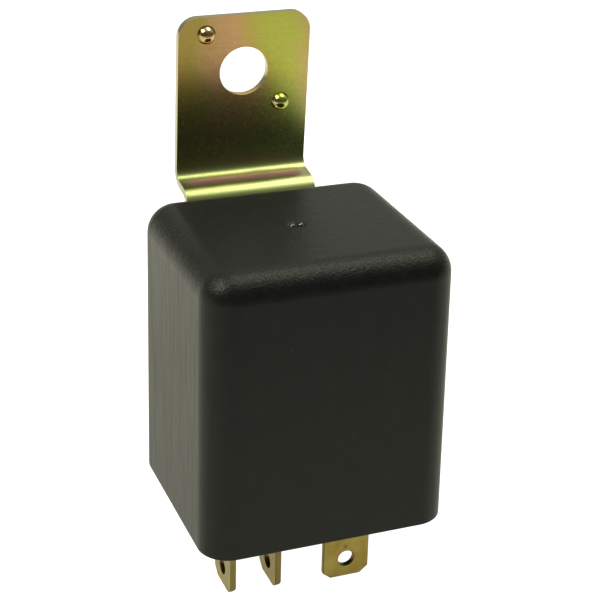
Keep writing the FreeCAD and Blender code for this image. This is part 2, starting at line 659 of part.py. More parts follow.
def make_coil_lead(side):
    """Lead from the foot of the winding over the flange and through the terminal's notch."""
    away = vector(side * COIL_BLADE_X, COIL_BLADE_CENTRE - CORE_Y, 0)
    away.normalize()
    low = WINDING_BOTTOM + LEAD_LIFT
    high = BASE_THICKNESS + COIL_RISER_HEIGHT - NOTCH_DEPTH + LEAD_RADIUS + LEAD_GAP
    start = vector(0, CORE_Y, low) + away * (WINDING_RADIUS + LEAD_GAP)
    entry = vector(side * (COIL_BLADE_X - BLADE_THICKNESS), COIL_BLADE_CENTRE, high)
    end = vector(side * (COIL_BLADE_X + BLADE_THICKNESS / 2 + LEAD_TAIL), COIL_BLADE_CENTRE, high)
    elbow = entry - vector(side * LEAD_RADIUS, 0, 0)
    tail = straight_wire(LEAD_RADIUS, end, elbow)
    return straight_wire(LEAD_RADIUS, start, entry).fuse(tail).removeSplitter()


def make_armature_plate():
    back = YOKE_BACK + EAR_CLEARANCE + ARMATURE_BACK_BAR
    tail_back = SPRING_Y + SPRING_EYE_RADIUS + TAIL_MARGIN
    plate = block(-YOKE_HALF, YOKE_HALF, PLATE_FRONT, back, PLATE_BOTTOM, PLATE_TOP)
    front = edges_where(plate, lambda box: box.YMax < PLATE_FRONT + TOLERANCE and box.ZLength > TOLERANCE)
    plate = plate.makeFillet(ARMATURE_CORNER, front)
    tail = block(-TAIL_WIDTH / 2, TAIL_WIDTH / 2, YOKE_BACK, tail_back, PLATE_BOTTOM, PLATE_TOP)
    plate = plate.fuse(tail)
    cutters = []
    for side in (-1, 1):
        cutters.append(side_block(side, EAR_INNER - EAR_CLEARANCE, YOKE_HALF + OVERRUN,
                                  YOKE_FRONT - EAR_CLEARANCE, YOKE_BACK + EAR_CLEARANCE,
                                  PLATE_BOTTOM - OVERRUN, PLATE_TOP + OVERRUN))
    cutters.append(Part.makeCylinder(SPRING_EYE_RADIUS, ARMATURE_THICKNESS,
                                     vector(0, SPRING_Y, PLATE_BOTTOM)))
    for y in spring_rivet_places():
        cutters.append(Part.makeCylinder(SPRING_RIVET_RADIUS + CONTACT_CLEARANCE, ARMATURE_THICKNESS,
                                         vector(0, y, PLATE_BOTTOM)))
    return at_rest(plate.cut(cutters).removeSplitter())


def spring_rivet_places():
    """Y of the front and back rivet of the leaf, counted from the plate's front edge."""
    front = PLATE_FRONT + SPRING_RIVET_INSET
    return [front, front + SPRING_RIVET_PITCH]


def make_contact_spring():
    tip = CONTACT_Y - CONTACT_RADIUS - LEAF_TIP_MARGIN
    half = LEAF_WIDTH / 2
    back = spring_rivet_places()[-1] + LEAF_BACK_MARGIN
    leaf = block(-half, half, tip, back, PLATE_TOP, LEAF_TOP)
    ends = edges_where(leaf, lambda box: box.ZLength > TOLERANCE and box.YMax < tip + TOLERANCE)
    leaf = leaf.makeFillet(LEAF_CORNER, ends)
    ear_front = PLATE_FRONT + ARMATURE_CORNER
    ear = block(0, LEAF_EAR_SIDE, ear_front, ear_front + LEAF_EAR_LENGTH, PLATE_TOP, LEAF_TOP)
    cutters = []
    for y in spring_rivet_places():
        cutters.append(Part.makeCylinder(SPRING_RIVET_RADIUS + CONTACT_CLEARANCE, LEAF_THICKNESS,
                                         vector(0, y, PLATE_TOP)))
    cutters.append(Part.makeCylinder(CONTACT_SHANK_RADIUS + CONTACT_CLEARANCE, LEAF_THICKNESS,
                                     vector(0, CONTACT_Y, PLATE_TOP)))
    return at_rest(leaf.fuse(ear).cut(cutters).removeSplitter())


def make_spring_rivet(y):
    """Head on the leaf, shank flush with the underside of the plate."""
    shank = Part.makeCylinder(SPRING_RIVET_RADIUS, LEAF_TOP - PLATE_BOTTOM, vector(0, y, PLATE_BOTTOM))
    head = disc(SPRING_RIVET_HEAD_RADIUS, SPRING_RIVET_HEAD_HEIGHT, vector(0, y, LEAF_TOP), vector(0, 0, 1))
    return at_rest(shank.fuse(head).removeSplitter())


def make_moving_contact():
    shank = Part.makeCylinder(CONTACT_SHANK_RADIUS, LEAF_THICKNESS, vector(0, CONTACT_Y, PLATE_TOP))
    lower = disc(CONTACT_RADIUS, CONTACT_HEIGHT, vector(0, CONTACT_Y, PLATE_TOP), vector(0, 0, -1))
    upper = disc(CONTACT_RADIUS, CONTACT_HEIGHT, vector(0, CONTACT_Y, LEAF_TOP), vector(0, 0, 1))
    return at_rest(shank.fuse([lower, upper]).removeSplitter())


def open_arm_top():
    """Top of the arm under the moving contact, which touches it when the armature is closed."""
    return PLATE_TOP - CONTACT_HEIGHT - CONTACT_GAP - CONTACT_HEIGHT


def closed_arm_bottom():
    """Underside of the arm over the moving contact, which touches it at rest."""
    _, crest = rest_point(CONTACT_Y - CONTACT_RADIUS, LEAF_TOP + CONTACT_HEIGHT)
    return crest + CONTACT_GAP + CONTACT_HEIGHT


def make_fixed_contact(seat, facing):
    """Rivet contact in an arm. Seat is the arm's face under its head, facing is 1 up or -1 down."""
    up = vector(0, 0, facing)
    spot = vector(0, CONTACT_Y, seat)
    head = disc(CONTACT_RADIUS, CONTACT_HEIGHT, spot, up)
    shank = disc(CONTACT_SHANK_RADIUS, BLADE_THICKNESS, spot, up * -1)
    return head.fuse(shank).removeSplitter()


def spring_run(path):
    """Length of spring wire in the plane X = 0, with rounded bends."""
    edges = rounded_path(path, [HOOK_BEND] * (len(path) - 2), yoke_plane)
    start = yoke_plane(*path[0])
    section = wire_section(SPRING_WIRE, start, yoke_plane(*path[1]) - start)
    return Part.Wire(edges).makePipeShell([section], True, True)


def make_return_spring():
    """Tension coil with a hook through the yoke and one over the armature's tail."""
    _, eye_top = rest_point(SPRING_Y, PLATE_TOP)
    low = HOOK_LEVEL + HOOK_RISE
    high = low + SPRING_LENGTH
    helix = Part.makeHelix(SPRING_LENGTH / SPRING_TURNS, SPRING_LENGTH, SPRING_RADIUS)
    helix.translate(vector(0, SPRING_Y, low))
    first = helix.Edges[0]
    section = wire_section(SPRING_WIRE, first.valueAt(first.FirstParameter),
                           first.tangentAt(first.FirstParameter))
    coil = Part.Wire(helix.Edges).makePipeShell([section], True, True)
    inside = YOKE_FRONT - SPRING_WIRE - HOOK_GAP
    over = eye_top + 2 * SPRING_WIRE
    lower = spring_run([(inside, HOOK_LEVEL + HOOK_TIP), (inside, HOOK_LEVEL), (SPRING_Y, HOOK_LEVEL),
                        (SPRING_Y, low + SPRING_WIRE)])
    upper = spring_run([(SPRING_Y, high - SPRING_WIRE), (SPRING_Y, over), (SPRING_Y - HOOK_TIP, over)])
    parts = [lower, upper]
    for z in (low, high):
        parts.append(straight_wire(SPRING_WIRE, vector(0, SPRING_Y, z),
                                   vector(SPRING_RADIUS + SPRING_WIRE / 2, SPRING_Y, z)))
    return coil.fuse(parts)


def make_braided_lead():
    """Flat braid from the back of terminal 30's riser, past the leaf's front, onto its ear."""
    back = FACING_BLADE_Y + BLADE_THICKNESS + BRAID_GAP
    belly = back - BRAID_BELLY
    ear_front = PLATE_FRONT + ARMATURE_CORNER
    low = LEAF_TOP + BRAID_GAP
    landing = rest_point(ear_front - BRAID_BELLY, low + BRAID_THICKNESS)
    end = rest_point(ear_front + LEAF_EAR_LENGTH - BRAID_GAP, low + BRAID_THICKNESS)
    start = BASE_THICKNESS + BRAID_START
    path = [(back, start), (back, start + BRAID_KNEE), (belly, start + BRAID_KNEE + BRAID_SWING),
            (belly, landing[1] - BRAID_BELLY), landing, end]
    left = FACING_BLADE_OFFSET - BRAID_WIDTH / 2
    return bent_sheet(path, BRAID_THICKNESS, BRAID_BEND, -1,
                      lambda y, z: vector(left, y, z), vector(BRAID_WIDTH, 0, 0))


def all_pieces():
    pieces = {
        "cover": make_cover(),
        "base_plate": make_base_plate(),
        "mounting_bracket": make_bracket(),
        "terminal_87a": make_contact_terminal(LEFT_BLADE_X, LEFT_BLADE_FRONT,
                                              closed_arm_bottom() + BLADE_THICKNESS),
        "terminal_87": make_contact_terminal(SECOND_BLADE_X, SECOND_BLADE_FRONT, open_arm_top()),
        "terminal_30": make_facing_terminal(),
        "terminal_86": make_coil_terminal(-1),
        "terminal_85": make_coil_terminal(1),
        "yoke": make_yoke(),
        "core": make_core(),
        "bobbin": make_bobbin(),
        "coil_winding": make_winding(),
        "coil_lead_86": make_coil_lead(-1),
        "coil_lead_85": make_coil_lead(1),
        "armature_plate": make_armature_plate(),
        "contact_spring": make_contact_spring(),
        "moving_contact": make_moving_contact(),
        "contact_open": make_fixed_contact(open_arm_top(), 1),
        "contact_closed": make_fixed_contact(closed_arm_bottom(), -1),
        "return_spring": make_return_spring(),
        "braided_lead": make_braided_lead(),
    }
    for name, x in rivet_places():
        pieces["bracket_rivet_" + name] = make_bracket_rivet(x)
    for name, y in zip(("front", "back"), spring_rivet_places()):
        pieces["spring_rivet_" + name] = make_spring_rivet(y)
    return pieces


os.makedirs("parts", exist_ok=True)
for node, shape in all_pieces().items():
    shape.exportStep("parts/" + node + ".step")
    box = shape.BoundBox
    print(node, len(shape.Solids), shape.isValid(), round(shape.Volume, 3),
          [round(value, 2) for value in (box.XMin, box.XMax, box.YMin, box.YMax, box.ZMin, box.ZMax)])
hole, normal = bracket_hole_place()
print("fixing hole", [round(value, 4) for value in hole], [round(value, 5) for value in normal])
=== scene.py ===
import bpy
import json
import math
from mathutils import Matrix, Vector


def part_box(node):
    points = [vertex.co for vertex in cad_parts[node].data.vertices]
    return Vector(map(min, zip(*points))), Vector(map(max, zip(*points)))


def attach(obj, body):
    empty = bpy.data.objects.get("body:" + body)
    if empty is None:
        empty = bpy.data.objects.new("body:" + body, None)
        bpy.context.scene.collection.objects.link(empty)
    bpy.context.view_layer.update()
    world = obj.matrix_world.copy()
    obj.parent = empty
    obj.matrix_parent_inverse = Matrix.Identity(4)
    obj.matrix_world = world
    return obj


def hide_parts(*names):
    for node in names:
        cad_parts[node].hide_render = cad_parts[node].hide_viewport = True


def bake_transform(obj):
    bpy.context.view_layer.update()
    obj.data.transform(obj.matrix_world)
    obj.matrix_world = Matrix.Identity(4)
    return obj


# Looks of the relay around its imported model. The named places and sizes are millimetres,
# and Blender's own units, also inside the materials, are metres.
MM = 0.001

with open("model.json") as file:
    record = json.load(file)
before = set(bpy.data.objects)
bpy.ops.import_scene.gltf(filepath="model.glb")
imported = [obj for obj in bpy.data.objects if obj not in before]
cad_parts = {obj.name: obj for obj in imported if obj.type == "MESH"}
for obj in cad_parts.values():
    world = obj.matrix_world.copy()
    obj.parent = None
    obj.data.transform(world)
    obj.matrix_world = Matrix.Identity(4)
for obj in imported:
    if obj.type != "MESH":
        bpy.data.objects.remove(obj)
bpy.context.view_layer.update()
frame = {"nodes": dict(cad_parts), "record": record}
nodes = frame["nodes"]

# Cover; each sink step is an inset's margin and its depth
COVER_HALF_X = 16.5
COVER_HALF_Y = 14.7
COVER_HEIGHT = 38.0
TOP_HALF_X = 16.195
TOP_HALF_Y = 14.395
COVER_WALL = 1.6
UPRIGHT_RADIUS = 4.0
TOP_RADIUS = 3.6
RIM_RADIUS = 0.2
SINK_STEPS = ((1.5, 0.03), (3.0, 0.04), (3.5, 0.02))
SEAT_X = (-9.85, 8.45)
SEAT_Y = 14.4
SEAT_BOTTOM = 13.85
GATE_PLACE = (-0.08, -0.25)
GATE_RADIUS = 1.2
GATE_DEPTH = 0.22
GATE_NUB_RADIUS = 0.42
GATE_NUB_APART = 0.56

# Names of the face attributes that the materials read
CUT_EDGE = "cut_edge"
POLISHED = "polished"
DARKER_CORNER = "darker_corner"

# Fixing bracket: corners of the strip's front face, seen from the side as (y, z)
STRIP_X = (-9.7, 8.3)
STRIP_THICKNESS = 1.0
SHEET_THICKNESS = 0.995
FOOT = (14.4, 14.0)
ELBOW = (14.4, 37.63)
KNEE = (19.4076, 38.4231)
CROWN = (17.8525, 60.1174)
ELBOW_RADIUS = 2.5
KNEE_RADIUS = 1.5
ELBOW_TURN = 81.0
KNEE_TURN = 85.1
TAB_LEAN = 4.1
FOOT_CORNER = 3.0
CROWN_CORNER = 2.6
HOLE_PLACE = (-0.7, 18.3995, 52.487)
HOLE_RADIUS = 3.3
PIP_ACROSS = 5.25
PIP_ALONG = 5.0
PIP_RISE = 0.33
PIP_RADIUS = 1.25
PIP_SINK = 0.15
DENT_RADIUS = 0.8
DENT_DEPTH = 0.9
STRIP_EDGE = 0.1
CROWN_EDGE_LEVEL = 58

# Rivets through the strap's foot
RIVET_X = (-6.2, 4.8)
RIVET_Z = 20.0
RIVET_HOLE = 1.65
TAIL_RADIUS = 2.4
TAIL_THICKNESS = 0.9
TAIL_RING = 0.8
HEAD_BASE = 0.15
HEAD_SPREAD = 1.75
HEAD_CROWN = 0.5
RIVET_ROUNDING = 0.35

# Blades and inner pieces
BLADE_MARKS_TOP = 4
BASE_ROUNDING = 0.15
BLADE_ROUNDING = 0.08
YOKE_ROUNDING = 0.15
BOBBIN_ROUNDING = 0.12
PLATE_ROUNDING = 0.12
BRAID_ROUNDING = 0.05
SPRING_ROUNDING = 0.06
SMOOTH_ANGLE = 35
WIRE_RADIUS = 0.2
# Mapping adds its location, so the stain's place is given with its signs turned
STAIN_PLACE = (-3.75, 10.7, 3.85)

# Camera, as solved from the photograph's outlines, and the studio
CAMERA_PLACE = (-68.36, -175.65, 114.11)
CAMERA_RIGHT = (0.9341, -0.3563, 0.0224)
CAMERA_UP = (0.1298, 0.3974, 0.9084)
CAMERA_FORWARD = (0.3326, 0.8456, -0.4174)
LENS = 97.53
SENSOR_WIDTH = 36.0
FLOOR_RADIUS = 3000.0
FLOOR_Z = -8.5
FLOOR_DIM = (-220.0, 100.0)
STUDIO_TINT = (1.0, 0.995, 0.80)


# Modelling by hand

def deselect():
    if bpy.context.mode != "OBJECT":
        bpy.ops.object.mode_set(mode="OBJECT")
    bpy.ops.object.select_all(action="DESELECT")


def metres(point):
    return tuple(value * MM for value in point)


def named(name):
    """Give the new primitive its name, and put its place into its mesh."""
    piece = bpy.context.active_object
    piece.name = piece.data.name = name
    bpy.ops.object.transform_apply(location=True, rotation=True, scale=True)
    return piece


def block(name, low_film_and_painted_shade, high):
    """Cube primitive between two corners."""
    deselect()
    middle = [(a + b) / 2 for a, b in zip(low_film_and_painted_shade, high)]
    bpy.ops.mesh.primitive_cube_add(size=1, location=metres(middle),
                                    scale=metres([b - a for a, b in zip(low_film_and_painted_shade, high)]))
    return named(name)


def disc(name, radius, low_film_and_painted_shade, high, turn=(0, 0, 0), sides=64):
    """Round primitive from one place to another along its own axis."""
    deselect()
    middle = [(a + b) / 2 for a, b in zip(low_film_and_painted_shade, high)]
    length = math.dist(low_film_and_painted_shade, high)
    bpy.ops.mesh.primitive_cone_add(vertices=sides, radius1=radius * MM, radius2=radius * MM,
                                    depth=length * MM, location=metres(middle), rotation=turn)
    return named(name)


def dome(name, radius, centre, out, turn=(0, 0, 0), segments=48):
    """Upper half of a sphere primitive, cut a little below its middle and closed."""
    deselect()
    bpy.ops.mesh.primitive_uv_sphere_add(segments=segments, ring_count=segments // 2,
                                         radius=radius * MM, location=metres(centre), rotation=turn)
    piece = named(name)
    pick(piece, "FACE", lambda place, normal: True)
    low_film_and_painted_shade = Vector(centre) - Vector(out) * radius * 0.2
    bpy.ops.mesh.bisect(plane_co=metres(low_film_and_painted_shade), plane_no=out, use_fill=True, clear_inner=True)
    done()
    return piece


def pick(piece, kind, test):
    """Go into edit mode with the parts of a mesh selected that pass a test in millimetres."""
    deselect()
    bpy.context.view_layer.objects.active = piece
    piece.select_set(True)
    mesh = piece.data
    for group in (mesh.vertices, mesh.edges, mesh.polygons):
        for part in group:
            part.select = False
    if kind == "FACE":
        for face in mesh.polygons:
            face.select = bool(test(face.center / MM, face.normal))
    elif kind == "EDGE":
        for edge in mesh.edges:
            ends = [mesh.vertices[index].co / MM for index in edge.vertices]
            edge.select = bool(test(*ends))
    else:
        for vertex in mesh.vertices:
            vertex.select = bool(test(vertex.co / MM))
    bpy.context.tool_settings.mesh_select_mode = (kind == "VERT", kind == "EDGE", kind == "FACE")
    bpy.ops.object.mode_set(mode="EDIT")


def done():
    bpy.ops.object.mode_set(mode="OBJECT")


def extrude_by(move):
    bpy.ops.mesh.extrude_region_move(TRANSFORM_OT_translate={"value": metres(move)})


def soften(radius, segments, affect="EDGES"):
    bpy.ops.mesh.bevel(offset_type="OFFSET", offset=radius * MM, segments=segments, profile=0.5,
                       affect=affect, clamp_overlap=False)


def modify(piece, kind, **settings):
    """Add one modifier and apply it."""
    deselect()
    bpy.context.view_layer.objects.active = piece
    piece.select_set(True)
    modifier = piece.modifiers.new(kind.lower(), kind)
    for name, value in settings.items():
        setattr(modifier, name, value)
    bpy.ops.object.modifier_apply(modifier=modifier.name)


def combine(piece, tool, operation="DIFFERENCE"):
    modify(piece, "BOOLEAN", object=tool, operation=operation, solver="EXACT")
    bpy.data.objects.remove(tool)


def shade(piece):
    """Smooth shading that keeps broad faces flat."""
    deselect()
    bpy.context.view_layer.objects.active = piece
    piece.select_set(True)
    bpy.ops.object.shade_smooth_by_angle(angle=math.radians(SMOOTH_ANGLE))
    modify(piece, "WEIGHTED_NORMAL", keep_sharp=True, weight=50)


def coat(piece, slot):
    """Put one material on a piece in place of those it has."""
    piece.data.materials.clear()
    piece.data.materials.append(materials[slot])


def finished(piece, body, slot, stands_for):
    """Material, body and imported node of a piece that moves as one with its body."""
    coat(piece, slot)
    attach(piece, body)
    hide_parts(stands_for)


def flexible(piece, slot, stands_for):
    """Piece across the pivot: coated and baked where it stands, with no body; its imported node is hidden."""
    coat(piece, slot)
    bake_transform(piece)
    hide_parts(stands_for)


def mark_faces(piece, name, test):
    """Face attribute for the material: 1 on the faces that pass a test, such as cut or polished ones."""
    values = [float(bool(test(face.center / MM, face.normal))) for face in piece.data.polygons]
    piece.data.attributes.new(name, "FLOAT", "FACE").data.foreach_set("value", values)


def softened_copy(node, name, radius):
    """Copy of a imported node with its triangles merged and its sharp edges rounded."""
    piece = bpy.data.objects.new(name, nodes[node].data.copy())
    piece.data.name = name
    bpy.context.scene.collection.objects.link(piece)
    pick(piece, "VERT", lambda place: True)
    bpy.ops.mesh.remove_doubles(threshold=0.0005 * MM)
    bpy.ops.mesh.dissolve_limited(angle_limit=math.radians(1.0))
    done()
    modify(piece, "BEVEL", width=radius * MM, segments=2, limit_method="ANGLE",
           angle_limit=math.radians(40), use_clamp_overlap=True)
    shade(piece)
    return piece


# Materials

def add(tree, kind, inputs=None, **settings):
    """One shader node, with its sockets set to values or linked to other nodes' outputs."""
    node = tree.nodes.new(kind)
    for name, value in settings.items():
        setattr(node, name, value)
    for key, value in (inputs or {}).items():
        if isinstance(value, bpy.types.NodeSocket):
            tree.links.new(value, node.inputs[key])
        else:
            node.inputs[key].default_value = value
    return node


def ramp(tree, factor, *stops):
    """Colour ramp from (position, colour) stops; a colour may be one grey value."""
    node = add(tree, "ShaderNodeValToRGB", {"Fac": factor})
    elements = node.color_ramp.elements
    while len(elements) < len(stops):
        elements.new(0.5)
    for element, (position, colour) in zip(elements, stops):
        element.position = position
        element.color = (colour, colour, colour, 1) if isinstance(colour, float) else (*colour, 1)
    return node.outputs["Color"]


def blend_colours(tree, factor, first, second, way="MIX"):
    sockets = {0: factor, 6: first, 7: second}
    return add(tree, "ShaderNodeMix", sockets, data_type="RGBA", blend_type=way).outputs[2]


def arithmetic(tree, operation, first, second, clamp=False):
    sockets = {0: first, 1: second}
    return add(tree, "ShaderNodeMath", sockets, operation=operation, use_clamp=clamp).outputs[0]


def multiply(tree, first, second):
    return arithmetic(tree, "MULTIPLY", first, second)


def plus(tree, first, second):
    return arithmetic(tree, "ADD", first, second)


def between(tree, value, start, end):
    """Value that goes from 0 at the start to 1 at the end."""
    sockets = {"Value": value, "From Min": start, "From Max": end}
    return add(tree, "ShaderNodeMapRange", sockets).outputs["Result"]


def axes(tree, vector):
    """The three parts of a vector, by their names."""
    return add(tree, "ShaderNodeSeparateXYZ", {"Vector": vector}).outputs


def noise(tree, vector, scale, detail, **more):
    sockets = {"Vector": vector, "Scale": scale, "Detail": detail, **more}
    return add(tree, "ShaderNodeTexNoise", sockets).outputs["Fac"]


def marked(tree, name):
    """Face attribute that mark_faces wrote."""
    return add(tree, "ShaderNodeAttribute", attribute_name=name).outputs["Fac"]


def distance_from_zero(tree, vector):
    return add(tree, "ShaderNodeVectorMath", {0: vector}, operation="LENGTH").outputs["Value"]


def place_on(tree, location=(0, 0, 0), turn=(0, 0, 0), scale=(1, 1, 1)):
    """Object coordinates moved, turned and stretched for one pattern."""
    coordinates = add(tree, "ShaderNodeTexCoord").outputs["Object"]
    sockets = {"Vector": coordinates, "Location": location, "Rotation": turn, "Scale": scale}
    return add(tree, "ShaderNodeMapping", sockets).outputs["Vector"]


def new_group(name, inputs, outputs):
    group = bpy.data.node_groups.new(name, "ShaderNodeTree")
    for title, kind, value in inputs:
        socket = group.interface.new_socket(title, in_out="INPUT", socket_type=kind)
        if value is not None:
            socket.default_value = value
    for title, kind in outputs:
        group.interface.new_socket(title, in_out="OUTPUT", socket_type=kind)
    return group, group.nodes.new("NodeGroupInput"), group.nodes.new("NodeGroupOutput")


def make_grain():
    """Fine and coarse unevenness of a moulded or plated skin."""
    group, given, result = new_group(
        "surface_grain",
        [("Vector", "NodeSocketVector", None), ("Fine Scale", "NodeSocketFloat", 3000.0),
         ("Coarse Scale", "NodeSocketFloat", 300.0)],
        [("Height", "NodeSocketFloat"), ("Mottle", "NodeSocketFloat")])
    fine = noise(group, given.outputs[0], given.outputs[1], 3.0, Roughness=0.6)
    coarse = noise(group, given.outputs[0], given.outputs[2], 4.0, Roughness=0.55)
    height = plus(group, multiply(group, fine, 0.8), multiply(group, coarse, 0.2))
    group.links.new(height, result.inputs[0])
    group.links.new(coarse, result.inputs[1])
    return group


def make_specks():
    """Scattered small dots: dust on plastic, pits and stains on metal."""
    group, given, result = new_group(
        "scattered_specks",
        [("Vector", "NodeSocketVector", None), ("Scale", "NodeSocketFloat", 900.0),
         ("Size", "NodeSocketFloat", 0.2), ("Share", "NodeSocketFloat", 0.1)],
        [("Mask", "NodeSocketFloat")])
    cells = add(group, "ShaderNodeTexVoronoi", {"Vector": given.outputs[0], "Scale": given.outputs[1]})
    near = arithmetic(group, "LESS_THAN", cells.outputs["Distance"], given.outputs[2])
    red = add(group, "ShaderNodeSeparateColor", {"Color": cells.outputs["Color"]}).outputs[0]
    chosen = arithmetic(group, "LESS_THAN", red, given.outputs[3])
    group.links.new(multiply(group, near, chosen), result.inputs[0])
    return group


def make_streaks():
    """Long fine marks of rolling, drawing or brushing, along the pattern's own X."""
    group, given, result = new_group(
        "rolled_streaks",
        [("Vector", "NodeSocketVector", None), ("Scale", "NodeSocketFloat", 60.0)],
        [("Streak", "NodeSocketFloat")])
    drawn = add(group, "ShaderNodeMapping", {"Vector": given.outputs[0], "Scale": (1.0, 30.0, 30.0)})
    lines = noise(group, drawn.outputs["Vector"], given.outputs[1], 5.0, Roughness=0.65)
    group.links.new(lines, result.inputs[0])
    return group


grain_group = make_grain()
specks_group = make_specks()
streaks_group = make_streaks()


def grain(tree, vector, fine, coarse):
    node = add(tree, "ShaderNodeGroup", node_tree=grain_group)
    tree.links.new(vector, node.inputs[0])
    node.inputs[1].default_value = fine
    node.inputs[2].default_value = coarse
    return node.outputs


def specks(tree, vector, scale, size, share):
    node = add(tree, "ShaderNodeGroup", node_tree=specks_group)
    tree.links.new(vector, node.inputs[0])
    for index, value in enumerate((scale, size, share), 1):
        node.inputs[index].default_value = value
    return node.outputs[0]


def streaks(tree, vector, scale):
    node = add(tree, "ShaderNodeGroup", node_tree=streaks_group)
    tree.links.new(vector, node.inputs[0])
    node.inputs[1].default_value = scale
    return node.outputs[0]


def new_material(name, **constants):
    """Principled material with its constant values set on its own sockets."""
    material = bpy.data.materials.new(name)
    material.use_nodes = True
    shader = material.node_tree.nodes["Principled BSDF"]
    for title, value in constants.items():
        shader.inputs[title.replace("_", " ")].default_value = value
    return material, material.node_tree, shader


def dress(tree, shader, colour, roughness, height, depth):
    """Join the varying colour, roughness and relief to the shader; depth is in millimetres."""
    tree.links.new(colour, shader.inputs["Base Color"])
    tree.links.new(roughness, shader.inputs["Roughness"])
    bump = add(tree, "ShaderNodeBump", {"Strength": 1.0, "Distance": depth * MM, "Height": height})
    tree.links.new(bump.outputs["Normal"], shader.inputs["Normal"])


def make_moulded_black():
    """Satin black cover: fine grain, a frosted rim, drawn marks, faint flow rings, a little dust and painted
    light on the top face.
    """
    material, tree, shader = new_material("moulded_black", IOR=1.3, Coat_IOR=1.7, Coat_Roughness=0.17)
    skin = place_on(tree)
    height, mottle = grain(tree, skin, 3300.0, 420.0)
    rings_at = place_on(tree, location=(0, 0.004, -0.029))
    sockets = {"Vector": rings_at, "Scale": 330.0, "Distortion": 2.5, "Detail": 2.0, "Detail Scale": 1.5}
    rings = add(tree, "ShaderNodeTexWave", sockets, wave_type="RINGS", rings_direction="X")
    reach = arithmetic(tree, "DIVIDE", distance_from_zero(tree, rings_at), 0.009)
    near = arithmetic(tree, "SUBTRACT", 1.0, reach, clamp=True)
    flow = multiply(tree, rings.outputs["Fac"], near)
    dust = specks(tree, skin, 700.0, 0.13, 0.012)
    colour = ramp(tree, mottle, (0.3, (0.0040, 0.0041, 0.0048)), (0.7, (0.0066, 0.0067, 0.0076)))
    colour = blend_colours(tree, multiply(tree, dust, 0.3), colour, (0.055, 0.053, 0.046, 1))
    tree.links.new(marked(tree, POLISHED), shader.inputs["Coat Weight"])
    drawn = streaks(tree, place_on(tree, turn=(0, math.radians(90), 0), scale=(1, 1, 2.6)), 30.0)
    upright = multiply(tree, axes(tree, skin)["Z"], 25.0)
    # Painted light: the top face gets a lighter colour than the walls.
    painted_light_on_top = ramp(tree, upright, (0.945, 0.0), (0.949, 1.0))
    colour = blend_colours(tree, painted_light_on_top, colour, (0.0088, 0.0090, 0.0115, 1))
    on_rim = ramp(tree, upright, (0.84, 0.07), (0.90, 0.75), (0.92, 1.0), (0.942, 1.0), (0.949, 0.15))
    frost = noise(tree, skin, 3600.0, 2.0)
    even = ramp(tree, drawn, (0.3, 0.34), (0.7, 0.42))
    roughness = blend_colours(tree, on_rim, even, ramp(tree, frost, (0.32, 0.25), (0.68, 0.44)))
    marks = plus(tree, multiply(tree, flow, 0.2), multiply(tree, drawn, 0.5))
    relief = plus(tree, multiply(tree, height, on_rim), marks)
    dress(tree, shader, colour, roughness, relief, depth=0.11)
    return material


def make_base_moulding():
    """Plain black moulding of the base, a little rougher than the cover."""
    material, tree, shader = new_material("base_moulding", IOR=1.45)
    height, mottle = grain(tree, place_on(tree), 2200.0, 350.0)
    colour = ramp(tree, mottle, (0.3, (0.006, 0.006, 0.0055)), (0.7, (0.014, 0.014, 0.013)))
    roughness = ramp(tree, mottle, (0.3, 0.45), (0.7, 0.6))
    dress(tree, shader, colour, roughness, height, depth=0.03)
    return material


